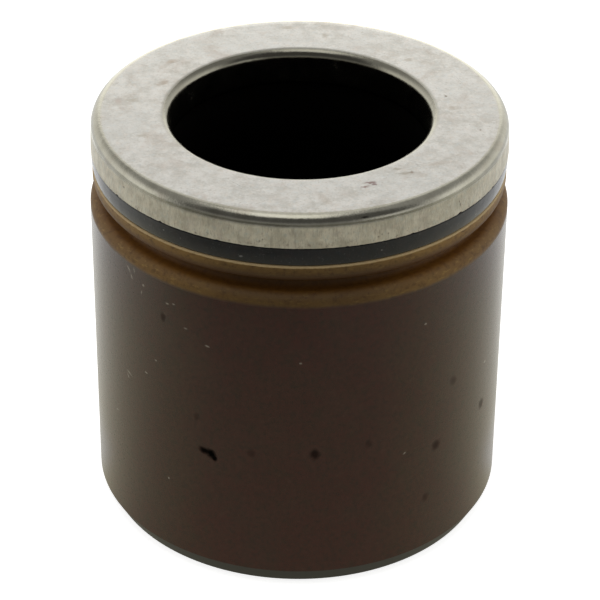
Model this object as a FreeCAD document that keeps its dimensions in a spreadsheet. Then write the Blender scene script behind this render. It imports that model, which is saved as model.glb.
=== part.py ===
import FreeCAD, Part
import math
import os

import Sketcher

# Brake caliper piston: a thick-walled cup moulded in phenolic resin, closed at
# the pressure end (z = 0) and open at the pad end, with a stamped stainless
# pad cap pressed onto its mouth and a black elastomer insulator ring held
# between the cap's skirt and the cup's lip.
# Millimetres.  +Z runs along the piston's axis from the pressure face to the
# pad face; the origin is the centre of the pressure face.

doc = FreeCAD.newDocument("CaliperPiston")

# ---------------------------------------------------------------- sizes
sheet = doc.addObject("Spreadsheet::Sheet", "Sizes")
sheet.Label = "piston sizes"

ROWS = [
    # cup, outside
    ("piston_radius", 27.0, "ground outside radius that slides in the caliper bore"),
    ("total_height", 55.4, "pressure face to pad face"),
    ("foot_chamfer_height", 2.35, "lead-in chamfer at the pressure end, along the axis"),
    ("foot_chamfer_width", 1.3, "lead-in chamfer at the pressure end, radial"),
    ("foot_edge_round", 0.25, "broken edge between lead-in chamfer and pressure face"),
    # dust boot groove
    ("groove_floor_radius", 24.4, "radius at the bottom of the dust boot groove"),
    ("groove_foot_height", 44.55, "lower side of the groove"),
    ("groove_top_height", 46.1, "upper side of the groove"),
    ("groove_floor_round", 0.7, "round at the groove's floor corners"),
    ("shoulder_round", 1.4, "round from the groove's lower side onto the ground wall"),
    # lip and nose
    ("lip_radius", 26.6, "lip between the groove and the insulator ring"),
    ("lip_round", 1.4, "round from the lip down into the groove"),
    ("seat_round", 0.36, "round at the lip's upper corner"),
    ("seat_height", 48.55, "annular seat the insulator ring stands on"),
    ("nose_radius", 24.2, "nose that carries the ring and the cap"),
    ("nose_edge", 0.5, "chamfer at the nose's outer corner"),
    ("mouth_edge", 0.72, "chamfer at the mouth, clear of the cap's inner bend"),
    # cavity
    ("mouth_radius", 17.1, "bore that the cap's sleeve is pressed into"),
    ("mouth_depth", 4.7, "straight length of that bore below the nose's end"),
    ("cavity_foot_radius", 16.7, "cavity radius at its floor, with mould draft"),
    ("cavity_floor_height", 13.0, "thickness of the closed end"),
    ("cavity_floor_round", 3.0, "round at the cavity's floor"),
    ("overrun", 1.0, "how far a cut runs past the surface it opens"),
    # stainless pad cap
    ("gauge", 0.5, "sheet thickness"),
    ("sleeve_radius", 16.6, "inside radius of the cap's sleeve"),
    ("sleeve_foot_height", 50.6, "lower edge of the sleeve"),
    ("sleeve_bend", 1.2, "outside radius of the bend into the sleeve"),
    ("skirt_top_radius", 26.62, "outside radius of the skirt, carried up to the pad face"),
    ("skirt_foot_radius", 26.75, "outside radius of the skirt at its sheared edge"),
    ("skirt_foot_height", 51.15, "sheared lower edge of the skirt"),
    ("skirt_bend", 1.4, "outside radius of the bend into the skirt"),
    # insulator ring
    ("ring_top_height", 54.0, "top of the ring, up inside the skirt"),
    ("ring_top_round", 0.5, "round at the ring's top corner, clear of the cap's bend"),
    ("ring_gap", 0.15, "groove between the skirt's edge and the ring's bulge"),
    ("ring_crown_radius", 26.74, "ring's outside radius just below the skirt"),
    ("ring_foot_radius", 26.5, "ring's outside radius on the lip"),
    ("ring_crown_round", 0.25, "round at the bulge's upper corner"),
    ("ring_foot_round", 0.34, "round at the bulge's lower corner"),
]

VALUE = {}
for row, (alias, number, note) in enumerate(ROWS, start=1):
    sheet.set("A%d" % row, note)
    sheet.set("B%d" % row, str(number))
    sheet.setAlias("B%d" % row, alias)
    VALUE[alias] = number
doc.recompute()


def number_of(text):
    """Value of a sum such as 'total_height - gauge'."""
    total, sign = 0.0, 1.0
    for word in text.split():
        if word == "+":
            sign = 1.0
        elif word == "-":
            sign = -1.0
        else:
            total += sign * VALUE[word]
    return total


def formula_of(text):
    """The same sum, written with the sheet's cells."""
    return " ".join(w if w in "+-" else "Sizes." + w for w in text.split())


# ---------------------------------------------------------------- helpers
def new_body(label):
    body = doc.addObject("PartDesign::Body", label)
    body.Label = label
    body.Placement = FreeCAD.Placement(FreeCAD.Vector(0, 0, 0), FreeCAD.Rotation())
    return body


def half_section(body, name, corners):
    """Closed half section in the body's XZ plane; each corner is (radius, height)."""
    sketch = body.newObject("Sketcher::SketchObject", name)
    plane = [f for f in body.Origin.OriginFeatures if f.Role == "XZ_Plane"][0]
    sketch.AttachmentSupport = [(plane, "")]
    sketch.MapMode = "FlatFace"
    points = []
    for radius, height in corners:
        x = number_of(radius) if radius else 0.0
        y = number_of(height) if height else 0.0
        points.append(FreeCAD.Vector(x, y, 0))
    count = len(points)
    for i in range(count):
        sketch.addGeometry(Part.LineSegment(points[i], points[(i + 1) % count]), False)
    for i in range(count):
        sketch.addConstraint(Sketcher.Constraint("Coincident", i, 2, (i + 1) % count, 1))
    for i, (radius, height) in enumerate(corners):
        if radius:
            c = sketch.addConstraint(Sketcher.Constraint("DistanceX", -1, 1, i, 1, points[i].x))
            sketch.setExpression("Constraints[%d]" % c, formula_of(radius))
        else:
            sketch.addConstraint(Sketcher.Constraint("PointOnObject", i, 1, -2))
        if height:
            c = sketch.addConstraint(Sketcher.Constraint("DistanceY", -1, 1, i, 1, points[i].y))
            sketch.setExpression("Constraints[%d]" % c, formula_of(height))
        else:
            sketch.addConstraint(Sketcher.Constraint("PointOnObject", i, 1, -1))
    doc.recompute()
    return sketch


def turned_volume(corners):
    """Volume swept by a half section turned about the axis."""
    pts = [(number_of(r) if r else 0.0, number_of(z) if z else 0.0) for r, z in corners]
    total = 0.0
    for (r0, z0), (r1, z1) in zip(pts, pts[1:] + pts[:1]):
        total += (z1 - z0) * (r0 * r0 + r0 * r1 + r1 * r1) / 3.0
    return abs(total) * math.pi


def revolve(body, kind, name, sketch):
    turned = body.newObject(kind, name)
    turned.Profile = sketch
    turned.ReferenceAxis = (sketch, ["V_Axis"])
    turned.Angle = 360.0
    body.Tip = turned
    doc.recompute()
    return turned


def rim_edges(feature, radius, height):
    """Names of the feature's circular edges of that radius at that height."""
    names = []
    for i, edge in enumerate(feature.Shape.Edges, start=1):
        curve = edge.Curve
        if not isinstance(curve, Part.Circle):
            continue
        if abs(curve.Radius - radius) < 1e-4 and abs(curve.Center.z - height) < 1e-4:
            names.append("Edge%d" % i)
    if not names:
        raise RuntimeError("no rim at radius %g, height %g on %s" % (radius, height, feature.Name))
    return names


def soften(body, kind, name, base, rims, alias):
    """Fillet or chamfer on the rims, its size bound to the sheet."""
    edges = []
    for radius, height in rims:
        edges += rim_edges(base, number_of(radius), number_of(height) if height else 0.0)
    feature = body.newObject(kind, name)
    feature.Base = (base, edges)
    if kind == "PartDesign::Fillet":
        feature.Radius = VALUE[alias]
        feature.setExpression("Radius", "Sizes." + alias)
    else:
        feature.Size = VALUE[alias]
        feature.setExpression("Size", "Sizes." + alias)
    body.Tip = feature
    doc.recompute()
    if feature.Shape.isNull() or not feature.Shape.isValid():
        raise RuntimeError("%s failed" % name)
    if abs(feature.Shape.Volume - base.Shape.Volume) < 1e-3:
        raise RuntimeError("%s changes nothing" % name)
    return feature


def expect(feature, volume, what):
    if abs(feature.Shape.Volume - volume) > 0.5:
        raise RuntimeError("%s: %.2f mm3, expected %.2f mm3" % (what, feature.Shape.Volume, volume))


# ---------------------------------------------------------------- cup
cup = new_body("piston_body")

# outside: lead-in chamfer, ground wall, lip, seat and nose in one turn
OUTSIDE = [
    ("", ""),
    ("piston_radius - foot_chamfer_width", ""),
    ("piston_radius", "foot_chamfer_height"),
    ("piston_radius", "groove_foot_height + groove_floor_round"),
    ("lip_radius", "groove_foot_height + groove_floor_round"),
    ("lip_radius", "seat_height"),
    ("nose_radius", "seat_height"),
    ("nose_radius", "total_height - gauge"),
    ("", "total_height - gauge"),
]
cup_outside = revolve(cup, "PartDesign::Revolution", "CupOutside",
                      half_section(cup, "CupOutsideSection", OUTSIDE))
expect(cup_outside, turned_volume(OUTSIDE), "cup outside")

# dust boot groove, cut from the side
BOOT = [
    ("groove_floor_radius", "groove_foot_height"),
    ("piston_radius + overrun", "groove_foot_height"),
    ("piston_radius + overrun", "groove_top_height"),
    ("groove_floor_radius", "groove_top_height"),
]
boot_groove = revolve(cup, "PartDesign::Groove", "BootGroove",
                      half_section(cup, "BootGrooveSection", BOOT))
lower = math.pi * (number_of("piston_radius") ** 2 - number_of("groove_floor_radius") ** 2) \
    * number_of("groove_floor_round")
upper = math.pi * (number_of("lip_radius") ** 2 - number_of("groove_floor_radius") ** 2) \
    * (number_of("groove_top_height - groove_foot_height - groove_floor_round"))
expect(boot_groove, cup_outside.Shape.Volume - lower - upper, "boot groove")

# blind cavity, open at the pad end: straight mouth for the cap's sleeve, then
# a drafted bore down to the closed end
HOLLOW = [
    ("", "cavity_floor_height"),
    ("cavity_foot_radius", "cavity_floor_height"),
    ("mouth_radius", "total_height - gauge - mouth_depth"),
    ("mouth_radius", "total_height - gauge + overrun"),
    ("", "total_height - gauge + overrun"),
]
cavity = revolve(cup, "PartDesign::Groove", "Cavity",
                 half_section(cup, "CavitySection", HOLLOW))
spare = math.pi * number_of("mouth_radius") ** 2 * number_of("overrun")
expect(cavity, boot_groove.Shape.Volume - (turned_volume(HOLLOW) - spare), "cavity")

# rounds and broken edges
step = soften(cup, "PartDesign::Fillet", "GrooveFloorRounds", cavity,
              [("groove_floor_radius", "groove_foot_height"),
               ("groove_floor_radius", "groove_top_height")], "groove_floor_round")
step = soften(cup, "PartDesign::Fillet", "ShoulderRound", step,
              [("piston_radius", "groove_foot_height")], "shoulder_round")
step = soften(cup, "PartDesign::Fillet", "LipRound", step,
              [("lip_radius", "groove_top_height")], "lip_round")
step = soften(cup, "PartDesign::Fillet", "SeatRound", step,
              [("lip_radius", "seat_height")], "seat_round")
step = soften(cup, "PartDesign::Chamfer", "NoseEdge", step,
              [("nose_radius", "total_height - gauge")], "nose_edge")
step = soften(cup, "PartDesign::Chamfer", "MouthEdge", step,
              [("mouth_radius", "total_height - gauge")], "mouth_edge")
step = soften(cup, "PartDesign::Fillet", "CavityFloorRound", step,
              [("cavity_foot_radius", "cavity_floor_height")], "cavity_floor_round")
step = soften(cup, "PartDesign::Fillet", "FootEdgeRound", step,
              [("piston_radius - foot_chamfer_width", "")], "foot_edge_round")

# ---------------------------------------------------------------- pad cap
# One stamping: a sleeve down into the mouth, a flat annular pad face, and a
# skirt that flares very slightly down to its sheared edge.
cap = new_body("steel_cap")
STAMPING = [
    ("sleeve_radius", "sleeve_foot_height"),
    ("sleeve_radius + gauge", "sleeve_foot_height"),
    ("sleeve_radius + gauge", "total_height - gauge"),
    ("skirt_top_radius - gauge", "total_height - gauge"),
    ("skirt_foot_radius - gauge", "skirt_foot_height"),
    ("skirt_foot_radius", "skirt_foot_height"),
    ("skirt_top_radius", "total_height"),
    ("sleeve_radius", "total_height"),
]
stamping = revolve(cap, "PartDesign::Revolution", "Stamping",
                   half_section(cap, "StampingSection", STAMPING))
expect(stamping, turned_volume(STAMPING), "stamping")

step = soften(cap, "PartDesign::Fillet", "SleeveBendOutside", stamping,
              [("sleeve_radius", "total_height")], "sleeve_bend")
step = soften(cap, "PartDesign::Fillet", "SkirtBendOutside", step,
              [("skirt_top_radius", "total_height")], "skirt_bend")


def bend_inside(base, name, rim, alias):
    """Inner side of a bend: the outside radius less the sheet's thickness."""
    feature = cap.newObject("PartDesign::Fillet", name)
    feature.Base = (base, rim_edges(base, number_of(rim), number_of("total_height - gauge")))
    feature.Radius = VALUE[alias] - VALUE["gauge"]
    feature.setExpression("Radius", "Sizes.%s - Sizes.gauge" % alias)
    cap.Tip = feature
    doc.recompute()
    if feature.Shape.isNull() or abs(feature.Shape.Volume - base.Shape.Volume) < 1e-3:
        raise RuntimeError("%s failed" % name)
    return feature


step = bend_inside(step, "SleeveBendInside", "sleeve_radius + gauge", "sleeve_bend")
step = bend_inside(step, "SkirtBendInside", "skirt_top_radius - gauge", "skirt_bend")

# ---------------------------------------------------------------- insulator ring
# Its upper part is tucked up inside the skirt round the nose; below the skirt
# it bulges out almost flush with the steel and stands on the cup's lip.
ring = new_body("insulator_ring")
RING = [
    ("nose_radius", "seat_height"),
    ("ring_foot_radius", "seat_height"),
    ("ring_crown_radius", "skirt_foot_height - ring_gap"),
    ("skirt_foot_radius - gauge", "skirt_foot_height - ring_gap"),
    ("skirt_foot_radius - gauge", "skirt_foot_height"),
    ("skirt_top_radius - gauge", "ring_top_height"),
    ("nose_radius", "ring_top_height"),
]
band = revolve(ring, "PartDesign::Revolution", "Band",
               half_section(ring, "BandSection", RING))
expect(band, turned_volume(RING), "band")
step = soften(ring, "PartDesign::Fillet", "BandTopRound", band,
              [("skirt_top_radius - gauge", "ring_top_height")], "ring_top_round")
step = soften(ring, "PartDesign::Fillet", "BandCrownRound", step,
              [("ring_crown_radius", "skirt_foot_height - ring_gap")], "ring_crown_round")
step = soften(ring, "PartDesign::Fillet", "BandFootRound", step,
              [("ring_foot_radius", "seat_height")], "ring_foot_round")

# ---------------------------------------------------------------- check and write
doc.recompute()
for thing in doc.Objects:
    if "Invalid" in thing.State or "Error" in thing.State:
        raise RuntimeError("%s is %s" % (thing.Name, thing.State))

os.makedirs("parts", exist_ok=True)
PIECES = [cup, ring, cap]
for piece in PIECES:
    shape = piece.Shape
    if shape.isNull() or not shape.isValid() or len(shape.Solids) != 1:
        raise RuntimeError("%s isn't one valid solid" % piece.Label)
for piece in PIECES:
    shape = piece.Shape
    shape.exportStep("parts/%s.step" % piece.Label)
    box = shape.optimalBoundingBox(False, False)
    print("%-15s %9.1f mm3   r %.3f   z %.3f to %.3f"
          % (piece.Label, shape.Volume, box.XMax, box.ZMin, box.ZMax))
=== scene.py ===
import math

import bpy
import numpy as np
from mathutils import Matrix, Vector


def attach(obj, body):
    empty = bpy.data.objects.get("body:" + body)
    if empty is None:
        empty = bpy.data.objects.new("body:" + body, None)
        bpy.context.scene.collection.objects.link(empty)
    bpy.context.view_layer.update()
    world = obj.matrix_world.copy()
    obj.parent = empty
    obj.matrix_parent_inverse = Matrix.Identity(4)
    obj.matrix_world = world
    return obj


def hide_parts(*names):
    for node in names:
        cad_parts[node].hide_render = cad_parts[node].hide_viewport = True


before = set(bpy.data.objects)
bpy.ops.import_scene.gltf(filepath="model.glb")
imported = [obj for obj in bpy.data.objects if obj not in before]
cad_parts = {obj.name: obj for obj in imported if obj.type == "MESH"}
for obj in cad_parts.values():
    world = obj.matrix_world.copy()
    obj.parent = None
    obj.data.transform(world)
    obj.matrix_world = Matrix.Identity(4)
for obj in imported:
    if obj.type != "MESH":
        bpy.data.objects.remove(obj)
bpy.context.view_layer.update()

# Brake caliper piston.  The frame is in metres; lengths in this script are in
# millimetres and go through MM.  +Z is the piston's axis, -Y faces the camera.
MM = 0.001


# ------------------------------------------------------------------ profiles
def rounded(corners):
    """Half section with its corners rounded: corners are (r, z, round, steps)."""
    count = len(corners)
    spots = [np.array(c[:2], float) for c in corners]
    arcs = []
    for i, (r, z, fillet, steps) in enumerate(corners):
        a, b = spots[i - 1] - spots[i], spots[(i + 1) % count] - spots[i]
        a, b = a / np.linalg.norm(a), b / np.linalg.norm(b)
        half = math.acos(max(-1.0, min(1.0, float(a @ b)))) / 2
        arcs.append((a, b, half, fillet / math.tan(half) if fillet else 0.0))
    out = []
    for i, (r, z, fillet, steps) in enumerate(corners):
        a, b, half, reach = arcs[i]
        if not fillet:
            out.append(spots[i])
            continue
        before = np.linalg.norm(spots[i - 1] - spots[i]) - reach - arcs[i - 1][3]
        after = np.linalg.norm(spots[(i + 1) % count] - spots[i]) - reach - arcs[(i + 1) % count][3]
        middle = (a + b) / np.linalg.norm(a + b) * (fillet / math.sin(half)) + spots[i]
        start, end = spots[i] + a * reach, spots[i] + b * reach
        wish = 0.22 * fillet + 0.02
        if before > 0.02:
            out.append(start + a * min(wish, 0.35 * before))
        u, v = start - middle, end - middle
        full = math.acos(max(-1.0, min(1.0, float(u @ v) / fillet ** 2)))
        for k in range(steps + 1):
            t = k / steps
            out.append(middle + (u * math.sin((1 - t) * full) + v * math.sin(t * full)) / math.sin(full))
        if after > 0.02:
            out.append(end + b * min(wish, 0.35 * after))
    return out


def filled(points, longest, closed):
    """The same half section with no leg longer than that."""
    out = []
    count = len(points)
    for i, p in enumerate(points):
        out.append(p)
        if i + 1 == count and not closed:
            break
        q = points[(i + 1) % count]
        parts = int(math.ceil(np.linalg.norm(q - p) / longest - 1e-9))
        for k in range(1, parts):
            out.append(p + (q - p) * k / parts)
    return np.array(out)


def lathe(name, profile, around, closed, wander=None):
    """Turns a half section about Z. wander(r, z, angle) gives the drift (dr, dz)."""
    angle = np.arange(around) * (2 * math.pi / around)
    verts, faces, rows = [], [], []
    for r, z in profile:
        if r < 1e-6:
            rows.append(len(verts))
            verts.append((0.0, 0.0, z * MM))
            continue
        rr, zz = np.full(around, r), np.full(around, z)
        if wander:
            dr, dz = wander(rr, zz, angle)
            rr, zz = rr + dr, zz + dz
        rows.append(range(len(verts), len(verts) + around))
        verts.extend(zip((rr * np.sin(angle) * MM).tolist(), (-rr * np.cos(angle) * MM).tolist(),
                         (zz * MM).tolist()))
    pairs = list(zip(rows, rows[1:]))
    if closed:
        pairs.append((rows[-1], rows[0]))
    for low, high in pairs:
        for j in range(around):
            k = (j + 1) % around
            if isinstance(low, int):
                faces.append((low, high[k], high[j]))
            elif isinstance(high, int):
                faces.append((low[j], low[k], high))
            else:
                faces.append((low[j], low[k], high[k], high[j]))
    mesh = bpy.data.meshes.new(name)
    mesh.from_pydata(verts, [], faces)
    mesh.validate()
    mesh.polygons.foreach_set("use_smooth", [True] * len(mesh.polygons))
    mesh.update()
    obj = bpy.data.objects.new(name, mesh)
    bpy.context.scene.collection.objects.link(obj)
    return obj


def ripple(seed, lowest, highest, power):
    """Smooth periodic noise of the angle, about -1 to 1."""
    rng = np.random.default_rng(seed)
    k = np.arange(lowest, highest + 1)
    size = rng.normal(size=k.size) * k.astype(float) ** -power
    phase = rng.uniform(0, 2 * math.pi, k.size)
    probe = np.linspace(0, 2 * math.pi, 4096)
    table = (size[:, None] * np.sin(k[:, None] * probe + phase[:, None])).sum(0)
    top = np.abs(table).max()
    return lambda angle: (size[:, None] * np.sin(k[:, None] * angle + phase[:, None])).sum(0) / top


def bump_at(angle, degrees, width, height):
    """A rounded bump in the angle, its width in degrees."""
    d = (np.degrees(angle) - degrees + 180.0) % 360.0 - 180.0
    return height * np.exp(-(d / width) ** 2)


# ------------------------------------------------------------------ cup
CUP = rounded([
    (0.0, 0.0, 0, 0),
    (25.70, 0.0, 0.25, 5),
    (27.0, 2.35, 0.10, 4),
    (27.0, 44.55, 1.40, 18),
    (24.4, 44.55, 0.70, 10),
    (24.4, 46.10, 0.70, 10),
    (26.6, 46.10, 1.40, 16),
    (26.6, 48.55, 0.36, 9),
    (24.2, 48.55, 0.05, 2),
    (24.2, 54.9, 0.50, 2),
    (17.1, 54.9, 0.75, 2),
    (17.1, 50.2, 0, 0),
    (16.7, 13.0, 3.00, 10),
    (0.0, 13.0, 0, 0),
])
CUP = filled(CUP, 5.5, False)

cup = lathe("piston_cup", CUP, 640, False)

# ------------------------------------------------------------------ steel cap
CAP = rounded([
    (26.75, 51.15, 0.07, 3),      # sheared edge, rolled over outside
    (26.62, 55.40, 1.40, 16),
    (16.60, 55.40, 1.20, 14),
    (16.60, 50.60, 0.08, 3),
    (17.10, 50.60, 0.05, 2),
    (17.10, 54.90, 0.70, 4),
    (26.12, 54.90, 0.90, 5),
    (26.25, 51.15, 0.04, 2),
])
CAP = filled(CAP, 2.4, True)

edge_low = ripple(11, 3, 9, 0.5)
edge_fine = ripple(12, 40, 260, 0.55)
edge_burr = ripple(13, 150, 420, 0.2)
skirt_wave = ripple(14, 2, 13, 1.0)
bend_wave = ripple(15, 5, 40, 0.9)
face_wave = ripple(16, 2, 8, 1.0)
NICKS = [(-57.0, 0.55, 0.16), (47.4, 0.7, 0.15), (31.0, 0.4, 0.10), (12.6, 0.35, 0.10), (-21.5, 0.4, 0.09),
         (-39.0, 0.5, 0.12), (64.0, 0.5, 0.14), (104.0, 0.6, 0.13), (151.0, 0.5, 0.12), (-96.0, 0.5, 0.12),
         (-137.0, 0.6, 0.14), (178.0, 0.4, 0.10), (77.0, 0.35, 0.11), (-72.0, 0.3, 0.10)]


def cap_drift(r, z, angle):
    """Slightly uneven stamping: ragged sheared edge, soft waves in the skirt."""
    outside = np.clip((r - 24.0) / 2.0, 0, 1)
    low = np.clip((54.2 - z) / 3.0, 0, 1) * (r > 25.9)
    cut = np.clip((51.55 - z) / 0.35, 0, 1) * (r > 26.0)
    dr = outside * (0.020 * skirt_wave(angle) + 0.006 * bend_wave(angle)) - 0.012 * outside
    rag = 0.028 * edge_fine(angle) + 0.016 * edge_burr(angle) + 0.03 * edge_low(angle)
    for degrees, width, height in NICKS:
        rag = rag + bump_at(angle, degrees, width, height)
    dz = cut * rag
    dr = dr + cut * 0.012 * edge_fine(angle + 1.0) + low * 0.0
    top = np.clip((z - 54.6) / 0.8, 0, 1) * np.clip((r - 17.0) / 1.5, 0, 1)
    dz = dz - top * (0.012 + 0.010 * face_wave(angle) * np.clip((r - 18.0) / 8.0, 0, 1))
    return dr, dz


cap = lathe("pad_cap", CAP, 1180, True, cap_drift)

# ------------------------------------------------------------------ ring
RING = rounded([
    (24.25, 48.55, 0, 0),
    (26.50, 48.55, 0.34, 7),
    (26.67, 49.55, 0, 0),
    (26.72, 51.11, 0.12, 6),
    (26.25, 51.11, 0, 0),
    (26.24, 51.15, 0, 0),
    (26.11, 54.00, 0.50, 3),
    (24.25, 54.00, 0, 0),
])
RING = filled(RING, 0.9, True)

ring_wave = ripple(21, 3, 17, 0.8)
ring_fine = ripple(22, 20, 90, 0.6)


def ring_drift(r, z, angle):
    """The bulge is uneven where the skirt was pressed down over it."""
    out = np.clip((r - 26.2) / 0.3, 0, 1) * (z < 51.1)
    dr = out * (0.022 * ring_wave(angle) + 0.006 * ring_fine(angle) - 0.015)
    up = np.clip((z - 50.5) / 0.4, 0, 1) * out
    dz = up * (0.035 * ring_wave(angle + 2.0) + 0.01 * ring_fine(angle + 1.0))
    return dr, dz


ring = lathe("ring_band", RING, 960, True, ring_drift)


# ------------------------------------------------------------------ node helpers
class Graph:
    """Small helper that builds a node tree."""

    def __init__(self, tree):
        self.tree = tree
        tree.nodes.clear()

    def node(self, kind, **settings):
        n = self.tree.nodes.new(kind)
        for key, value in settings.items():
            setattr(n, key, value)
        return n

    def put(self, socket, value):
        if isinstance(value, bpy.types.NodeSocket):
            self.tree.links.new(value, socket)
        elif value is not None:
            socket.default_value = value

    def math(self, op, a, b=None, c=None, clamp=False):
        n = self.node("ShaderNodeMath", operation=op, use_clamp=clamp)
        for socket, value in zip(n.inputs, (a, b, c)):
            self.put(socket, value)
        return n.outputs[0]

    def vector(self, op, a, b=None):
        n = self.node("ShaderNodeVectorMath", operation=op)
        self.put(n.inputs[0], a)
        if b is not None:
            self.put(n.inputs[1], b)
        return n.outputs["Value"] if op in ("LENGTH", "DISTANCE", "DOT_PRODUCT") else n.outputs["Vector"]

    def span(self, value, a, b, c=0.0, d=1.0, smooth=True):
        n = self.node("ShaderNodeMapRange", interpolation_type="SMOOTHSTEP" if smooth else "LINEAR")
        self.put(n.inputs["Value"], value)
        for name, v in zip(("From Min", "From Max", "To Min", "To Max"), (a, b, c, d)):
            self.put(n.inputs[name], v)
        return n.outputs["Result"]

    def noise(self, where, scale, detail=2.0, rough=0.5, distortion=0.0):
        n = self.node("ShaderNodeTexNoise")
        self.put(n.inputs["Vector"], where)
        self.put(n.inputs["Scale"], scale)
        self.put(n.inputs["Detail"], detail)
        self.put(n.inputs["Roughness"], rough)
        self.put(n.inputs["Distortion"], distortion)
        return n.outputs["Fac"]

    def mix(self, fac, a, b, blend="MIX"):
        n = self.node("ShaderNodeMix", data_type="RGBA", blend_type=blend)
        self.put(n.inputs["Factor"], fac)
        for index, value in ((6, a), (7, b)):
            if not isinstance(value, bpy.types.NodeSocket):
                value = (*value, 1.0)
            self.put(n.inputs[index], value)
        return n.outputs[2]

    def split(self, v):
        return self.node_out("ShaderNodeSeparateXYZ", v)

    def node_out(self, kind, v):
        n = self.node(kind)
        self.put(n.inputs[0], v)
        return n.outputs

    def join(self, x, y, z):
        n = self.node("ShaderNodeCombineXYZ")
        for socket, value in zip(n.inputs, (x, y, z)):
            self.put(socket, value)
        return n.outputs[0]

    def blob(self, where, place, size, turn=(0.0, 0.0, 0.0), inner=0.6):
        """1 inside an ellipsoid of those half lengths (mm), 0 outside it."""
        n = self.node("ShaderNodeMapping", vector_type="TEXTURE")
        self.put(n.inputs["Vector"], where)
        n.inputs["Location"].default_value = place
        n.inputs["Rotation"].default_value = turn
        n.inputs["Scale"].default_value = size
        return self.span(self.vector("LENGTH", n.outputs[0]), 1.0, inner)

    def most(self, masks):
        out = masks[0]
        for m in masks[1:]:
            out = self.math("MAXIMUM", out, m)
        return out


def on_wall(radius, degrees, z):
    a = math.radians(degrees)
    return (radius * math.sin(a), -radius * math.cos(a), z)


def new_material(name):
    material = bpy.data.materials.new(name)
    material.use_nodes = True
    g = Graph(material.node_tree)
    out = g.node("ShaderNodeOutputMaterial")
    shader = g.node("ShaderNodeBsdfPrincipled")
    g.put(out.inputs["Surface"], shader.outputs[0])
    coords = g.node("ShaderNodeTexCoord")
    where = g.vector("MULTIPLY", coords.outputs["Object"], (1000.0, 1000.0, 1000.0))
    return material, g, shader, where


def bumped(g, shader, height, distance, strength=1.0):
    n = g.node("ShaderNodeBump")
    n.inputs["Strength"].default_value = strength
    n.inputs["Distance"].default_value = distance
    g.put(n.inputs["Height"], height)
    g.put(shader.inputs["Normal"], n.outputs[0])


# ------------------------------------------------------------------ phenolic
phenolic, g, shader, where = new_material("phenolic")
x, y, z = g.split(where)
radius = g.vector("LENGTH", g.join(x, y, 0.0))

grain = g.noise(where, 1.6, 3.0, 0.65)
fleck = g.noise(where, 4.5, 2.0, 0.7)
cloud = g.noise(where, 0.16, 2.0, 0.5)
lines = g.noise(g.join(g.math("MULTIPLY", x, 0.10), g.math("MULTIPLY", y, 0.10), g.math("MULTIPLY", z, 7.0)), 1.0, 3.0, 0.6)

patch = g.noise(where, 0.62, 4.0, 0.62)
brown = g.mix(g.span(z, 24.0, 4.0), (0.0490, 0.0086, 0.0048), (0.0540, 0.0084, 0.0042))
brown = g.mix(g.span(cloud, 0.35, 0.68), brown, (0.0500, 0.0125, 0.0072))
brown = g.mix(g.math("MULTIPLY", g.span(patch, 0.48, 0.72), 0.55), brown, (0.0620, 0.0074, 0.0052))
brown = g.mix(g.math("MULTIPLY", g.span(patch, 0.50, 0.28), 0.50), brown, (0.0310, 0.0130, 0.0044))
brown = g.mix(g.math("MULTIPLY", g.span(grain, 0.46, 0.72), 0.60), brown, (0.0190, 0.0048, 0.0030))
brown = g.mix(g.math("MULTIPLY", g.span(grain, 0.46, 0.28), 0.60), brown, (0.0640, 0.0210, 0.0140))
brown = g.mix(g.math("MULTIPLY", g.span(fleck, 0.62, 0.80), 0.30), brown, (0.075, 0.045, 0.034))
# Painted sheen: towards the left and right sides (|x| 9 to 15 mm) the wall's green is raised up to 1.38 times, a
# painted olive tint of the side reflections.
side_sheen_green = g.span(g.math("ABSOLUTE", x), 9.0, 15.0, 1.0, 1.38)
brown = g.mix(1.0, brown, g.join(1.0, side_sheen_green, 1.0), "MULTIPLY")
foot = g.span(z, 2.42, 2.30)
brown = g.mix(foot, brown, (0.0060, 0.0052, 0.0070))

resin = g.noise(where, 1.5, 4.0, 0.68)
fibre = g.noise(g.join(g.math("MULTIPLY", x, 1.2), g.math("MULTIPLY", y, 1.2), g.math("MULTIPLY", z, 3.6)), 1.0, 3.0, 0.6)
moulded = g.mix(g.span(cloud, 0.35, 0.70), (0.126, 0.063, 0.0125), (0.148, 0.080, 0.0185))
# Painted light: the tan is painted lighter from z 47.1 mm upward, over the lip face towards its top edge.
moulded = g.mix(g.span(z, 47.1, 48.45), moulded, (0.195, 0.104, 0.0240))
moulded = g.mix(g.math("MULTIPLY", g.span(resin, 0.46, 0.70), 0.75), moulded, (0.060, 0.024, 0.0030))
moulded = g.mix(g.math("MULTIPLY", g.span(fibre, 0.53, 0.72), 0.60), moulded, (0.230, 0.145, 0.0360))
# Painted shade: the groove floor below the lip is painted a deeper, more saturated red-brown.
recess_shade = g.math("MULTIPLY", g.span(radius, 26.85, 25.50), g.span(z, 47.6, 46.6))
moulded = g.mix(recess_shade, moulded, g.mix(g.span(resin, 0.40, 0.70), (0.142, 0.058, 0.0052), (0.102, 0.038, 0.0034)))
# Painted shade: the band under the lip, down to the groove floor, is painted dark brown.
under_lip_shade = g.math("MULTIPLY", g.span(z, 47.75, 46.75), g.span(z, 45.2, 45.8))
moulded = g.mix(g.math("MULTIPLY", under_lip_shade, 0.85), moulded, (0.076, 0.027, 0.0036))
# Painted light: the tan is painted up to 1.52 times lighter towards the left and right sides (|x| 5 to 19 mm) and 8 %
# darker in front and behind.
side_light = g.span(g.math("ABSOLUTE", x), 5.0, 19.0, 0.92, 1.52)
moulded = g.mix(1.0, moulded, g.join(side_light, side_light, side_light), "MULTIPLY")
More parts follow.
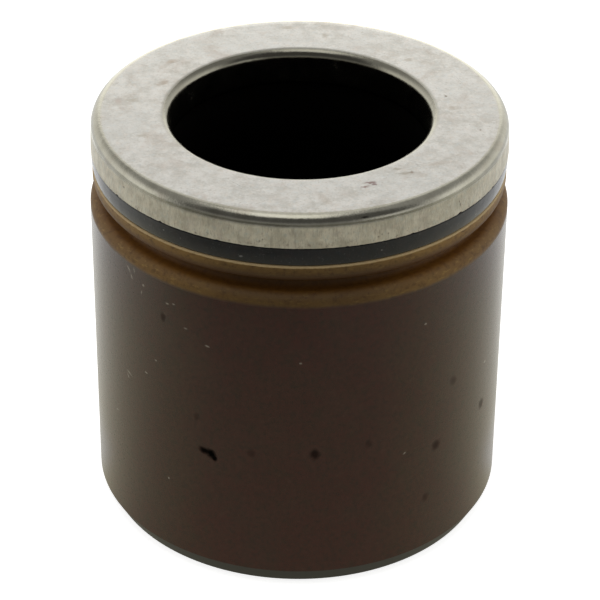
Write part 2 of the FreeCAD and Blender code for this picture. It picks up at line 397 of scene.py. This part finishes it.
# Painted highlight: a cream line along the lip's rounded top edge.
edge_z = g.math("ADD", z, g.math("MULTIPLY", g.math("SUBTRACT", g.noise(where, 2.6, 2.0, 0.6), 0.5), 0.16))
edge = g.math("MULTIPLY", g.span(edge_z, 48.20, 48.38), g.span(radius, 26.10, 26.30))
moulded = g.mix(g.math("MULTIPLY", edge, 0.85), moulded, (0.640, 0.470, 0.240))
step_z = g.math("ADD", z, g.math("MULTIPLY", g.math("SUBTRACT", g.noise(where, 0.35, 2.0, 0.5), 0.5), 0.22))
tan = g.span(step_z, 42.72, 43.30)
colour = g.mix(tan, brown, moulded)

DARK = [
    (-23.65, 19.44, 1.20, 0.92, -45, 1.00),
    (-22.8, 18.90, 0.70, 0.55, -60, 0.95),
    (-25.45, 19.64, 1.34, 0.76, -14, 0.92),
    (4.8, 21.06, 0.90, 1.15, 0, 0.60),
    (41.2, 17.92, 1.03, 1.08, -20, 0.47),
    (38.1, 10.29, 0.79, 0.96, 0, 0.32),
    (46.9, 26.68, 0.90, 1.04, 20, 0.30),
    (62.6, 18.95, 1.01, 1.08, 0, 0.34),
    (-38.1, 37.73, 0.61, 0.90, 0, 0.42),
    (-12.2, 20.78, 0.79, 0.86, 0, 0.26),
    (19.5, 21.75, 0.71, 0.86, 0, 0.26),
    (-27.8, 24.56, 0.57, 0.80, 0, 0.26),
    (121.0, 29.00, 1.29, 1.04, 20, 0.68), (166.0, 14.00, 0.86, 1.04, 0, 0.45), (-141.0, 34.00, 0.86, 0.86, 10, 0.45),
    (-101.0, 11.00, 0.71, 0.86, 0, 0.38), (-118.0, 26.00, 0.57, 0.86, 0, 0.30), (98.0, 8.50, 0.71, 0.86, 0, 0.30),
]
wobble = g.vector("MULTIPLY", g.vector("SUBTRACT", g.join(g.noise(where, 1.7, 2.0), g.noise(where, 1.9, 2.0), g.noise(where, 1.5, 2.0)),
                                       (0.5, 0.5, 0.5)), (0.38, 0.38, 0.38))
ragged = g.vector("ADD", where, wobble)
# Dark pits in the wall: the bump below dents them, and their near-black, almost metallic fill is painted shade inside
# the hollows.
pits_and_shade = g.most([g.math("MULTIPLY", g.blob(ragged, on_wall(27.0, a, h), (w, 1.6, t), (0.0, math.radians(-turn), math.radians(a)), 0.25), k)
               for a, h, w, t, turn, k in DARK])
colour = g.mix(pits_and_shade, colour, (0.0016, 0.0012, 0.0010))

LIGHT = [
    (-51.4, 42.00, 0.72, 0.16, -50), (-50.2, 41.10, 0.55, 0.16, -66), (-49.0, 42.30, 0.50, 0.11, -70), (-45.4, 40.90, 0.26, 0.24, 0),
    (-36.7, 39.98, 0.36, 0.16, 0), (-34.6, 40.25, 0.28, 0.15, 0), (-46.2, 39.70, 0.45, 0.10, 80), (-24.4, 35.66, 0.46, 0.16, -11), (-52.7, 25.99, 0.88, 0.13, -23),
    (-53.4, 25.40, 0.50, 0.12, -60), (-45.2, 27.86, 0.38, 0.17, -9), (-60.2, 18.21, 0.45, 0.12, 11), (-41.3, 30.58, 0.26, 0.15, -23),
    (-37.6, 13.04, 0.26, 0.17, -56), (-30.9, 37.32, 0.35, 0.14, 0), (63.8, 25.24, 0.40, 0.24, 0), (35.8, 37.49, 0.28, 0.20, 0),
    (30.5, 18.72, 0.33, 0.15, 30), (0.8, 34.86, 0.25, 0.18, 0),
    (98.0, 32.00, 0.75, 0.14, 20), (140.0, 22.00, 0.38, 0.18, -30), (-120.0, 18.00, 0.62, 0.14, 12), (-160.0, 36.00, 0.38, 0.18, 0),
]
dust = g.most([g.blob(where, on_wall(27.0, a, h), (w, 1.0, t), (0.0, math.radians(-turn), math.radians(a)), 0.3)
               for a, h, w, t, turn in LIGHT])
colour = g.mix(g.math("MULTIPLY", dust, 0.85), colour, (0.34, 0.30, 0.26))

# Painted shade: the bore inside the cup is painted near black with a near-black metallic finish, darkest towards its
# top under the cap.
throat = g.span(z, 43.0, 50.0)
inside = g.math("MULTIPLY", g.span(radius, 24.0, 23.6), g.span(z, 3.0, 6.0))
colour = g.mix(inside, colour, g.mix(throat, (0.0022, 0.0016, 0.0014), g.mix(g.span(grain, 0.4, 0.7), (0.0065, 0.0050, 0.0042), (0.0040, 0.0032, 0.0026))))
g.put(shader.inputs["Base Color"], colour)

rough = g.math("ADD", 0.27, g.math("MULTIPLY", g.math("SUBTRACT", grain, 0.5), 0.045))
rough = g.math("ADD", rough, g.math("MULTIPLY", tan, g.math("SUBTRACT", 0.33, g.math("MULTIPLY", edge, 0.10))))
rough = g.math("ADD", rough, g.math("MULTIPLY", pits_and_shade, 0.70))
rough = g.math("ADD", rough, g.math("MULTIPLY", inside, 0.35))
rough = g.math("ADD", rough, g.math("MULTIPLY", foot, 0.22))
g.put(shader.inputs["Roughness"], rough)
g.put(shader.inputs["Metallic"], g.math("MAXIMUM", g.math("MULTIPLY", pits_and_shade, 0.90), g.math("MULTIPLY", inside, 0.85)))
shader.inputs["IOR"].default_value = 1.5
height = g.math("ADD", g.math("MULTIPLY", lines, 0.12), g.math("MULTIPLY", grain, 0.055))
height = g.math("ADD", height, g.math("MULTIPLY", tan, g.math("MULTIPLY", resin, 3.0)))
height = g.math("SUBTRACT", height, g.math("MULTIPLY", pits_and_shade, 9.0))
height = g.math("ADD", height, g.math("MULTIPLY", dust, 1.5))
bumped(g, shader, height, 0.000006)

# ------------------------------------------------------------------ elastomer
elastomer, g, shader, where = new_material("elastomer")
x, y, z = g.split(where)
film = g.noise(where, 0.5, 3.0, 0.6)
speck = g.noise(where, 5.0, 2.0, 0.6)
black = g.mix(g.span(film, 0.35, 0.7), (0.0004, 0.0012, 0.0062), (0.0070, 0.0066, 0.0140))
hue = g.noise(where, 1.1, 3.0, 0.65)
black = g.mix(g.math("MULTIPLY", g.span(hue, 0.52, 0.70), 0.7), black, (0.0150, 0.0070, 0.0110))
black = g.mix(g.math("MULTIPLY", g.span(hue, 0.48, 0.30), 0.7), black, (0.0010, 0.0060, 0.0150))
dust = g.span(speck, 0.60, 0.78)
FLECKS = [(-15.1, 49.45, 0.34, 0.22, 15), (22.0, 49.9, 0.18, 0.14, 0), (-38.0, 50.2, 0.2, 0.12, 0), (55.0, 49.4, 0.22, 0.14, 0),
          (-62.0, 49.7, 0.25, 0.16, 0), (118.0, 49.6, 0.3, 0.15, 0), (-128.0, 50.1, 0.25, 0.15, 0), (170.0, 49.3, 0.3, 0.15, 0)]
spots = g.most([g.blob(where, on_wall(26.68, a, h), (w, 1.0, t), (0.0, math.radians(-turn), math.radians(a)), 0.3)
                for a, h, w, t, turn in FLECKS])
dust = g.math("MAXIMUM", g.math("MULTIPLY", dust, 0.30), g.math("MULTIPLY", spots, 0.7))
g.put(shader.inputs["Base Color"], g.mix(dust, black, (0.22, 0.22, 0.23)))
g.put(shader.inputs["Roughness"], g.math("ADD", 0.17, g.math("MULTIPLY", film, 0.14)))
shader.inputs["IOR"].default_value = 1.5
bumped(g, shader, g.math("ADD", g.noise(where, 0.8, 2.0), g.math("MULTIPLY", speck, 0.2)), 0.00002)

# ------------------------------------------------------------------ stainless
stainless, g, shader, where = new_material("stainless")
x, y, z = g.split(where)
radius = g.vector("LENGTH", g.join(x, y, 0.0))
mottle = g.noise(where, 0.55, 4.0, 0.62)
fine = g.noise(where, 3.2, 3.0, 0.65)
broad = g.noise(where, 0.09, 2.0, 0.5)

steel = g.mix(g.span(mottle, 0.32, 0.68), (0.512, 0.500, 0.474), (0.706, 0.695, 0.678))
steel = g.mix(g.math("MULTIPLY", g.span(broad, 0.42, 0.66), 0.50), steel, (0.625, 0.627, 0.618))
steel = g.mix(g.math("MULTIPLY", g.span(fine, 0.54, 0.72), 0.60), steel, (0.44, 0.410, 0.365))
steel = g.mix(g.math("MULTIPLY", g.span(fine, 0.46, 0.28), 0.60), steel, (0.75, 0.745, 0.72))
hue = g.noise(where, 1.3, 3.0, 0.7)
steel = g.mix(g.math("MULTIPLY", g.span(hue, 0.52, 0.72), 0.45), steel, (0.680, 0.615, 0.560))
steel = g.mix(g.math("MULTIPLY", g.span(hue, 0.48, 0.28), 0.45), steel, (0.560, 0.600, 0.620))

draw = g.noise(g.join(g.math("MULTIPLY", x, 1.7), g.math("MULTIPLY", y, 1.7), g.math("MULTIPLY", z, 0.42)), 1.0, 4.0, 0.72, 0.5)
score = g.noise(g.join(g.math("MULTIPLY", x, 7.0), g.math("MULTIPLY", y, 7.0), g.math("MULTIPLY", z, 1.5)), 1.0, 3.0, 0.65)
face = g.math("MULTIPLY", g.span(z, 55.30, 55.37), g.span(radius, 25.55, 25.05))
steel = g.mix(g.math("SUBTRACT", 1.0, face), steel, g.mix(g.span(mottle, 0.30, 0.70), (0.560, 0.545, 0.462), (0.640, 0.626, 0.545)))
# Painted shade and light: off the flat top the steel is painted up to 14 % darker towards the left and right sides (|x|
# 18 to 24 mm), and the outer rim of the top at the back is painted up to 20 % lighter.
rim_shade_and_light = g.math("ADD", face, g.math("MULTIPLY", g.math("SUBTRACT", 1.0, face), g.span(g.math("ABSOLUTE", x), 18.0, 24.0, 1.0, 0.86)))
behind = g.math("MULTIPLY", g.math("MULTIPLY", g.span(radius, 24.5, 24.9), g.span(radius, 25.8, 25.5)), g.span(y, 18.0, 24.0))
rim_shade_and_light = g.math("ADD", rim_shade_and_light, g.math("MULTIPLY", behind, 0.20))
steel = g.mix(1.0, steel, g.join(rim_shade_and_light, rim_shade_and_light, rim_shade_and_light), "MULTIPLY")
low = g.math("MULTIPLY", g.span(z, 54.30, 53.75), g.span(radius, 25.5, 26.0))
dull = g.mix(g.span(mottle, 0.32, 0.68), (0.640, 0.596, 0.480), (0.900, 0.848, 0.712))
# Painted light: the dull skirt is painted up to 10 % lighter in front and behind and 7 % darker towards the left and
# right sides.
painted_light_scale = g.span(g.math("ABSOLUTE", x), 5.0, 22.0, 1.10, 0.93)
dull = g.mix(1.0, dull, g.join(painted_light_scale, painted_light_scale, painted_light_scale), "MULTIPLY")
dull = g.mix(g.math("MULTIPLY", g.span(draw, 0.48, 0.70), 0.70), dull, (0.530, 0.475, 0.375))
dull = g.mix(g.math("MULTIPLY", g.span(score, 0.53, 0.70), 0.60), dull, (0.470, 0.418, 0.330))
dull = g.mix(g.math("MULTIPLY", g.span(score, 0.46, 0.30), 0.60), dull, (0.930, 0.890, 0.785))
dull = g.mix(g.math("MULTIPLY", g.span(hue, 0.52, 0.70), 0.40), dull, (0.840, 0.730, 0.570))
dull = g.mix(g.math("MULTIPLY", g.span(hue, 0.48, 0.30), 0.40), dull, (0.680, 0.735, 0.690))
steel = g.mix(g.math("MULTIPLY", low, 0.95), steel, dull)
burnt = g.math("MULTIPLY", g.span(g.noise(where, 1.9, 3.0, 0.65), 0.57, 0.68), g.span(z, 52.4, 51.3))
burnt = g.math("MULTIPLY", burnt, g.span(radius, 26.2, 26.4))
steel = g.mix(g.math("MULTIPLY", burnt, 0.60), steel, (0.230, 0.150, 0.100))

stain = g.span(g.noise(where, 0.22, 4.0, 0.65, 0.6), 0.52, 0.72)
steel = g.mix(g.math("MULTIPLY", stain, 0.32), steel, (0.50, 0.42, 0.355))
blush = g.span(g.noise(where, 0.34, 3.0, 0.6), 0.56, 0.76)
steel = g.mix(g.math("MULTIPLY", g.math("MULTIPLY", blush, face), 0.35), steel, (0.62, 0.575, 0.545))
speckle = g.span(g.noise(where, 4.2, 2.0, 0.6), 0.685, 0.76)
steel = g.mix(g.math("MULTIPLY", speckle, 0.45), steel, (0.26, 0.215, 0.17))
SMUDGE = [
    ((8.63, -18.07, 55.4), (1.06, 0.42, 0.5), 10, (0.25, 0.175, 0.165), 0.95),
    ((7.96, -19.09, 55.4), (1.00, 0.42, 0.5), 22, (0.27, 0.190, 0.170), 0.92),
    ((9.11, -18.45, 55.4), (0.44, 0.38, 0.5), 10, (0.22, 0.150, 0.150), 0.95),
    ((18.69, 4.31, 55.4), (0.33, 0.44, 0.5), 0, (0.24, 0.200, 0.160), 0.92),
    ((16.77, 2.65, 55.4), (0.40, 0.44, 0.5), 20, (0.20, 0.170, 0.140), 0.92),
    ((19.45, 1.09, 55.4), (0.81, 0.72, 0.5), 0, (0.47, 0.410, 0.350), 0.63),
    ((22.65, -4.52, 55.4), (0.33, 0.36, 0.5), 0, (0.26, 0.210, 0.180), 0.86),
    ((15.69, -4.00, 55.4), (0.38, 0.39, 0.5), 0, (0.40, 0.360, 0.300), 0.69),
    ((12.00, -14.71, 55.4), (1.12, 0.44, 0.5), 10, (0.36, 0.325, 0.270), 0.70),
    ((13.01, -15.67, 55.4), (1.62, 0.54, 0.5), 12, (0.36, 0.325, 0.270), 0.70),
    ((13.74, -15.49, 55.4), (0.45, 0.34, 0.5), 0, (0.27, 0.220, 0.180), 0.86),
    ((-17.72, 7.29, 55.4), (0.75, 1.30, 0.5), -25, (0.40, 0.335, 0.280), 0.75),
    ((-21.31, 2.43, 55.4), (1.12, 0.72, 0.5), 10, (0.42, 0.385, 0.330), 0.69),
    ((-23.22, 2.26, 55.4), (0.62, 1.04, 0.5), 0, (0.48, 0.410, 0.380), 0.57),
    ((-22.58, 0.13, 55.4), (0.50, 0.91, 0.5), 30, (0.49, 0.430, 0.390), 0.57),
    ((-17.02, 13.20, 55.4), (0.62, 1.04, 0.5), -40, (0.44, 0.370, 0.310), 0.69),
    ((-18.33, 6.72, 55.4), (0.62, 0.65, 0.5), 0, (0.46, 0.400, 0.350), 0.57),
    ((-19.76, -6.89, 55.4), (1.12, 0.65, 0.5), 20, (0.46, 0.430, 0.380), 0.63),
    ((-1.65, 23.46, 55.4), (1.50, 0.65, 0.5), 0, (0.44, 0.385, 0.320), 0.57),
    ((3.20, 21.17, 55.4), (0.62, 0.65, 0.5), 0, (0.42, 0.370, 0.310), 0.57),
    ((14.25, 14.41, 55.4), (0.75, 0.65, 0.5), 0, (0.42, 0.370, 0.310), 0.57),
]
wobble = g.vector("MULTIPLY", g.vector("SUBTRACT", g.join(g.noise(where, 1.9, 3.0), g.noise(where, 2.1, 3.0), 0.5),
                                       (0.5, 0.5, 0.5)), (0.9, 0.9, 0.0))
ragged = g.vector("ADD", where, wobble)
for place, size, turn, tint, strength in SMUDGE:
    m = g.blob(ragged, place, size, (0.0, 0.0, math.radians(turn)), 0.15)
    steel = g.mix(g.math("MULTIPLY", m, strength), steel, tint)
SPOT = [
    (19.6, 55.52, 0.42, 0.34, (0.27, 0.205, 0.160), 0.80),
    (17.3, 54.77, 0.62, 0.16, (0.08, 0.065, 0.055), 0.85),
    (47.4, 52.42, 0.14, 0.42, (0.13, 0.090, 0.070), 0.85),
    (47.1, 52.89, 0.20, 0.20, (0.20, 0.140, 0.110), 0.70),
    (20.9, 51.92, 0.22, 0.22, (0.25, 0.180, 0.130), 0.75),
    (21.9, 52.14, 0.16, 0.20, (0.27, 0.200, 0.150), 0.70),
    (23.7, 52.11, 0.20, 0.16, (0.27, 0.200, 0.150), 0.70),
    (-53.6, 53.13, 0.24, 0.24, (0.16, 0.130, 0.110), 0.80),
    (-15.0, 49.46, 0.45, 0.22, (0.22, 0.155, 0.110), 0.70),
    (-10.1, 51.96, 0.20, 0.26, (0.25, 0.190, 0.150), 0.60),
    (-9.3, 52.21, 0.18, 0.16, (0.27, 0.200, 0.150), 0.60),
    (112.0, 52.9, 0.20, 0.30, (0.18, 0.14, 0.11), 0.7), (-131.0, 52.2, 0.30, 0.22, (0.22, 0.16, 0.12), 0.7),
    (163.0, 51.7, 0.40, 0.25, (0.22, 0.16, 0.12), 0.7), (-88.0, 53.6, 0.25, 0.18, (0.22, 0.17, 0.14), 0.6),
]
for a, h, w, t, tint, strength in SPOT:
    m = g.blob(where, on_wall(26.5, a, h), (w, 0.9, t), (0.0, 0.0, math.radians(a)), 0.2)
    steel = g.mix(g.math("MULTIPLY", m, strength), steel, tint)
# Painted shade: the inner bend into the cap's mouth is painted dark grey, darker still at the left and at the back.
inner_bend_shade = g.span(radius, 17.95, 17.30)
painted_light_scale = g.math("MULTIPLY", g.span(x, -17.0, 8.0, 0.80, 1.0), g.span(y, 10.0, 17.0, 1.0, 0.84))
steel = g.mix(g.math("MULTIPLY", inner_bend_shade, 0.82), steel, g.mix(1.0, (0.400, 0.388, 0.330), g.join(painted_light_scale, painted_light_scale, painted_light_scale), "MULTIPLY"))
# Painted shade: the lower part of that inner bend, going down into the sleeve, is painted darker again.
recess_shade = g.math("MULTIPLY", g.span(radius, 17.55, 17.00), g.span(z, 55.10, 54.60))
steel = g.mix(g.math("MULTIPLY", recess_shade, 0.85), steel, (0.370, 0.356, 0.296))
# Painted shade: the lowest half millimetre of the cap's inner sleeve is painted near black.
steel = g.mix(g.math("MULTIPLY", g.span(radius, 17.6, 17.3), g.span(z, 51.25, 50.75)), steel, (0.050, 0.047, 0.038))
# Painted light: the whole cap is painted a few per cent darker in front and lighter behind.
steel = g.mix(1.0, steel, g.join(g.span(y, -24.0, 20.0, 0.975, 1.035), g.span(y, -24.0, 20.0, 0.975, 1.035), g.span(y, -24.0, 20.0, 0.985, 1.040)), "MULTIPLY")
g.put(shader.inputs["Base Color"], steel)
g.put(shader.inputs["Metallic"], g.math("SUBTRACT", 1.0, g.math("MULTIPLY", low, 0.80)))

rough = g.math("ADD", 0.20, g.math("MULTIPLY", face, 0.13))
rough = g.math("ADD", rough, g.math("MULTIPLY", low, 0.24))
rough = g.math("ADD", rough, g.math("MULTIPLY", g.math("SUBTRACT", mottle, 0.5), 0.20))
rough = g.math("ADD", rough, g.math("MULTIPLY", stain, 0.06))
g.put(shader.inputs["Roughness"], rough)

SCRATCH = [
    ((14.56, -12.99, 55.4), (1.72, 0.09, 0.5), -18), ((14.53, -13.80, 55.4), (0.90, 0.06, 0.5), -54),
    ((5.09, -21.25, 55.4), (1.42, 0.05, 0.5), 21), ((-7.54, -18.85, 55.4), (2.01, 0.05, 0.5), -45),
    ((10.5, -21.0, 55.4), (1.6, 0.05, 0.5), 24), ((-12.0, -20.0, 55.4), (2.4, 0.05, 0.5), -18),
    ((-20.5, -6.0, 55.4), (1.8, 0.05, 0.5), 71), ((20.8, 8.2, 55.4), (2.0, 0.05, 0.5), 112), ((-7.0, 22.2, 55.4), (2.2, 0.05, 0.5), 12),
    ((2.2, -20.6, 55.4), (1.1, 0.05, 0.5), -8), ((19.6, -11.2, 55.4), (1.2, 0.05, 0.5), 64), ((-16.2, 13.2, 55.4), (1.4, 0.05, 0.5), 40),
]
marks = g.most([g.blob(where, p, s, (0.0, 0.0, math.radians(turn)), 0.3) for p, s, turn in SCRATCH])
height = g.math("MULTIPLY", fine, 1.2)
height = g.math("ADD", height, g.math("MULTIPLY", mottle, 3.0))
height = g.math("ADD", height, g.math("MULTIPLY", g.math("MULTIPLY", draw, low), 10.0))
height = g.math("ADD", height, g.math("MULTIPLY", g.math("MULTIPLY", score, low), 2.5))
height = g.math("SUBTRACT", height, g.math("MULTIPLY", marks, 2.0))
bumped(g, shader, height, 0.000010)

# ------------------------------------------------------------------ pieces
for piece, node, slot, material in ((cup, "piston_body", "phenolic", phenolic),
                                    (ring, "insulator_ring", "elastomer", elastomer),
                                    (cap, "steel_cap", "stainless", stainless)):
    piece.data.materials.append(material)
    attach(piece, "root")
    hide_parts(node)

# ------------------------------------------------------------------ studio
scene = bpy.context.scene
scene.view_settings.view_transform = "Standard"

floor_mesh = bpy.data.meshes.new("floor")
side = 12.0
floor_mesh.from_pydata([(-side, -side, 0), (side, -side, 0), (side, side, 0), (-side, side, 0)], [], [(0, 1, 2, 3)])
floor = bpy.data.objects.new("floor", floor_mesh)
scene.collection.objects.link(floor)
paper = bpy.data.materials.new("paper")
paper.use_nodes = True
g = Graph(paper.node_tree)
out = g.node("ShaderNodeOutputMaterial")
shader = g.node("ShaderNodeBsdfPrincipled")
g.put(out.inputs["Surface"], shader.outputs[0])
coords = g.node("ShaderNodeTexCoord")
fibre = g.noise(coords.outputs["Object"], 900.0, 3.0, 0.6)
g.put(shader.inputs["Base Color"], g.mix(g.span(fibre, 0.3, 0.7), (0.70, 0.70, 0.697), (0.74, 0.74, 0.737)))
shader.inputs["Roughness"].default_value = 0.9
shader.inputs["Specular IOR Level"].default_value = 0.1
shader.inputs["Emission Color"].default_value = (1.0, 1.0, 0.998, 1.0)
shader.inputs["Emission Strength"].default_value = 0.80
floor_mesh.materials.append(paper)
floor.visible_glossy = False
floor.visible_diffuse = False
floor.visible_shadow = False

sun_data = bpy.data.lights.new("overhead", "SUN")
sun_data.energy = 1.25
sun_data.angle = math.radians(100)
sun = bpy.data.objects.new("overhead", sun_data)
scene.collection.objects.link(sun)
sun.location = (0.0, 0.0, 1.0)
sun.visible_glossy = False

# The lit table as the piston sees it: dim on the camera's side, bright behind.
glow_mesh = bpy.data.meshes.new("table_glow")
glow_mesh.from_pydata([(-side, -side, 0), (side, -side, 0), (side, side, 0), (-side, side, 0)], [], [(0, 1, 2, 3)])
glow = bpy.data.objects.new("table_glow", glow_mesh)
scene.collection.objects.link(glow)
glow.location = (0.0, 0.0, -0.0001)
lit = bpy.data.materials.new("table_glow")
lit.use_nodes = True
g = Graph(lit.node_tree)
out = g.node("ShaderNodeOutputMaterial")
shader = g.node("ShaderNodeEmission")
g.put(out.inputs["Surface"], shader.outputs[0])
coords = g.node("ShaderNodeTexCoord")
x, y, z = g.split(g.vector("MULTIPLY", coords.outputs["Object"], (1000.0, 1000.0, 1000.0)))
round_it = g.math("DIVIDE", y, g.vector("LENGTH", g.join(x, y, 5.0)))        # -1 in front, 1 behind
ramp = g.node("ShaderNodeValToRGB")
ramp.color_ramp.interpolation = "LINEAR"
STOPS = [(-1.0, 0.40), (-0.84, 0.41), (-0.5, 0.53), (-0.17, 0.72), (0.10, 0.84), (0.20, 0.90), (0.35, 0.99),
         (0.48, 1.07), (0.61, 1.24), (0.72, 1.34), (0.87, 1.44), (0.94, 1.51), (1.0, 1.56)]
for at, value in STOPS:
    if at in (-1.0, 1.0):
        stop = ramp.color_ramp.elements[0 if at < 0 else -1]
    else:
        stop = ramp.color_ramp.elements.new((at + 1.0) / 2.0)
    stop.color = (value / 1.6, value / 1.6, value / 1.6, 1.0)
g.put(ramp.inputs["Fac"], g.math("MULTIPLY", g.math("ADD", round_it, 1.0), 0.5))
level = g.math("MULTIPLY", ramp.outputs["Color"], 1.6)
level = g.math("MULTIPLY", level, g.span(y, -320.0, -90.0, 0.50, 1.0))
level = g.math("MULTIPLY", level, g.span(x, -110.0, 110.0, 1.01, 0.98, False))
away = g.vector("LENGTH", g.join(x, y, 0.0))
close = g.math("MULTIPLY", g.span(away, 38.0, 31.0), g.span(round_it, -0.20, 0.08))
level = g.math("MULTIPLY", level, g.math("ADD", 1.0, g.math("MULTIPLY", close, 0.20)))
corner = g.math("MULTIPLY", g.math("MULTIPLY", g.span(away, 84.0, 102.0), g.span(round_it, -0.25, -0.60)), g.span(x, 45.0, -10.0, 0.0, 0.40))
level = g.math("MULTIPLY", level, g.math("SUBTRACT", 1.0, corner))
beyond = g.math("MULTIPLY", g.span(away, 115.0, 200.0), g.span(round_it, 0.985, 0.93, 0.05, 0.40))
level = g.math("MULTIPLY", level, g.math("SUBTRACT", 1.0, beyond))
near = g.mix(g.span(round_it, -0.2, 0.9), (1.0, 0.965, 0.74), (1.0, 1.0, 0.95))
far = g.mix(g.span(round_it, -0.6, 0.6), (1.0, 0.98, 0.80), (1.0, 1.005, 1.0))
tint = g.mix(g.span(away, 66.0, 92.0), near, far)
tint = g.mix(close, tint, (1.0, 0.997, 0.93))
g.put(shader.inputs["Color"], tint)
g.put(shader.inputs["Strength"], level)
glow_mesh.materials.append(lit)
glow.visible_camera = False

# The room round the table: pale side and back walls, a soft box overhead, and
# a dark room behind the camera.
world = bpy.data.worlds.new("studio")
scene.world = world
world.use_nodes = True
g = Graph(world.node_tree)
out = g.node("ShaderNodeOutputWorld")
coords = g.node("ShaderNodeTexCoord")
direction = coords.outputs["Generated"]
dx, dy, dz = g.split(direction)
flat = g.math("MAXIMUM", g.vector("LENGTH", g.join(dx, dy, 0.0)), 0.0005)
front = g.math("DIVIDE", g.math("MULTIPLY", dy, -1.0), flat)       # 1 towards the camera, -1 away from it

walls = g.span(front, 0.50, 0.08)
lift = g.span(dz, 0.34, 0.74, 1.0, 0.28)
sides = g.math("MULTIPLY", g.math("MULTIPLY", walls, lift), 0.71)
rise = g.math("ADD", g.span(dz, 0.66, 0.30, 0.0, 0.72), 0.60)
behind = g.math("MULTIPLY", g.span(front, -0.84, -0.97), rise)
around = g.math("MAXIMUM", sides, behind)
up = g.math("MAXIMUM", dz, 0.02)
px, py = g.math("DIVIDE", dx, up), g.math("DIVIDE", dy, up)
box = g.math("MULTIPLY", g.span(px, 0.26, 0.10), g.span(px, -0.50, -0.20))
box = g.math("MULTIPLY", box, g.math("MULTIPLY", g.span(py, 0.50, 0.20), g.span(py, -0.52, -0.22)))
room = g.span(dz, 0.45, 0.15, 0.075, 0.200)
level = g.math("MAXIMUM", g.math("ADD", around, room), g.math("MULTIPLY", box, 1.10))
panel = g.math("MULTIPLY", g.math("MULTIPLY", g.span(dx, 0.45, 0.70), g.span(dy, -0.30, -0.55)), g.span(dz, 0.42, 0.24))
level = g.math("ADD", level, g.math("MULTIPLY", panel, 0.38))
n = g.node("ShaderNodeVectorMath", operation="SCALE")
n.inputs[0].default_value = (1.0, 0.985, 0.925)
g.put(n.inputs["Scale"], level)
seen = g.node("ShaderNodeBackground")
g.put(seen.inputs["Color"], n.outputs[0])
plain = g.node("ShaderNodeBackground")
plain.inputs["Color"].default_value = (0.96, 0.96, 0.96, 1.0)
path = g.node("ShaderNodeLightPath")
blend = g.node("ShaderNodeMixShader")
g.put(blend.inputs[0], path.outputs["Is Camera Ray"])
g.put(blend.inputs[1], seen.outputs[0])
g.put(blend.inputs[2], plain.outputs[0])
g.put(out.inputs["Surface"], blend.outputs[0])

# ------------------------------------------------------------------ camera
camera_data = bpy.data.cameras.new("camera")
camera_data.sensor_width = 36.0
camera_data.lens = 153.14382
camera_data.clip_start = 0.01
camera_data.clip_end = 60.0
camera = bpy.data.objects.new("camera", camera_data)
scene.collection.objects.link(camera)
right = Vector((0.999956, 0.0044596, 0.0082543))
over = Vector((-0.0093556, 0.539971, 0.8416316))
back = Vector((-0.0007038, -0.8416718, 0.539989))
turn = Matrix((right, over, back)).transposed().to_4x4()
camera.matrix_world = Matrix.Translation((0.0, -0.28619, 0.210402)) @ turn
scene.camera = camera

bpy.context.view_layer.update()
